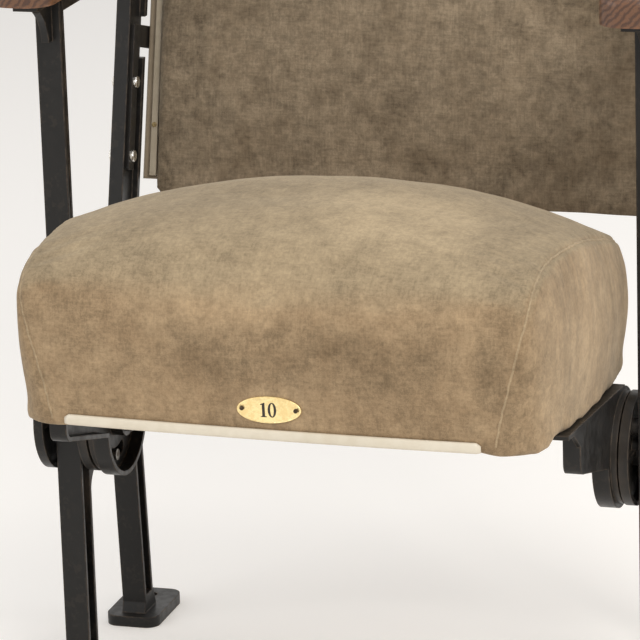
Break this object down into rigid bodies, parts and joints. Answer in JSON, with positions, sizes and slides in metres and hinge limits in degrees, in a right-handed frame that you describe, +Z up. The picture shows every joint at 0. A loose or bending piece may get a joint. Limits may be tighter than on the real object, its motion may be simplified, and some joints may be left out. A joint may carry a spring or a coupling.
{
  "type": "tip up auditorium seat",
  "caption": "Velvet tip up auditorium seat between two cast iron standards, with a leaning padded back, wooden armrests and a hinged sprung cushion.",
  "frame": {"origin": "on the floor, under the middle of the part's overall box", "axes": "+Z up, -Y is the way the sitter faces, +X to the right of someone who looks at the seat from the front"},
  "size_m": [0.575, 0.554, 0.8394],
  "materials": {
    "cast_iron": "old black enamel, satin, rubbed brown on its edges",
    "steel": "dull steel, slightly tarnished",
    "blackened_steel": "satin black",
    "nickel_plated_steel": "bright, round headed",
    "spring_steel": "bright wire",
    "bronze": "oiled bearing bronze",
    "armrest_wood": "dark stained hardwood, satin",
    "plywood": "raw birch plywood, aged",
    "hardboard": "raw hardboard",
    "seat_velvet": "cut pile velvet, crushed and worn paler on top",
    "back_velvet": "cut pile velvet, mottled",
    "cream_paint": "aged cream enamel",
    "bead_paint": "aged cream enamel",
    "cream_trim": "semi gloss cream moulding",
    "plate_brass": "polished, lightly hammered",
    "brass_nails": "dull",
    "dark_nails": "dark, oxidised"
  },
  "bodies": {
    "frame": {"left_standard": "cast_iron", "right_standard": "cast_iron", "left_inner_hub": "cast_iron", "right_inner_hub": "cast_iron", "left_outer_hub": "cast_iron", "right_outer_hub": "cast_iron", "left_pivot_pin": "steel", "right_pivot_pin": "steel", "left_hub_cross_pin": "steel", "right_hub_cross_pin": "steel", "left_thrust_washer": "steel", "right_thrust_washer": "steel", "left_hub_rivets": "steel", "right_hub_rivets": "steel", "left_stop_peg": "steel", "right_stop_peg": "steel", "left_back_strap": "blackened_steel", "right_back_strap": "blackened_steel", "left_strap_bolts": "nickel_plated_steel", "right_strap_bolts": "nickel_plated_steel", "left_strap_nuts": "nickel_plated_steel", "right_strap_nuts": "nickel_plated_steel", "left_strap_screws": "steel", "right_strap_screws": "steel", "left_armrest": "armrest_wood", "right_armrest": "armrest_wood", "left_armrest_screws": "steel", "right_armrest_screws": "steel", "back_shell": "cream_paint", "back_pad_board": "hardboard", "back_pad": "back_velvet", "back_bead": "bead_paint", "back_bead_nails": "brass_nails"},
    "seat": {"left_seat_arm": "cast_iron", "right_seat_arm": "cast_iron", "left_arm_screws": "steel", "right_arm_screws": "steel", "left_pivot_bush": "bronze", "right_pivot_bush": "bronze", "seat_board": "plywood", "seat_cushion": "seat_velvet", "seat_springs": "spring_steel", "front_trim": "cream_trim", "number_plate": "plate_brass", "number_plate_pins": "dark_nails"}
  },
  "joints": [
    {"name": "seat_tip", "type": "hinge", "parent": "frame", "child": "seat", "pos_m": [0, -0.01242, 0.24], "axis": [-1, 0, 0], "range_deg": [0, 42]}
  ]
}
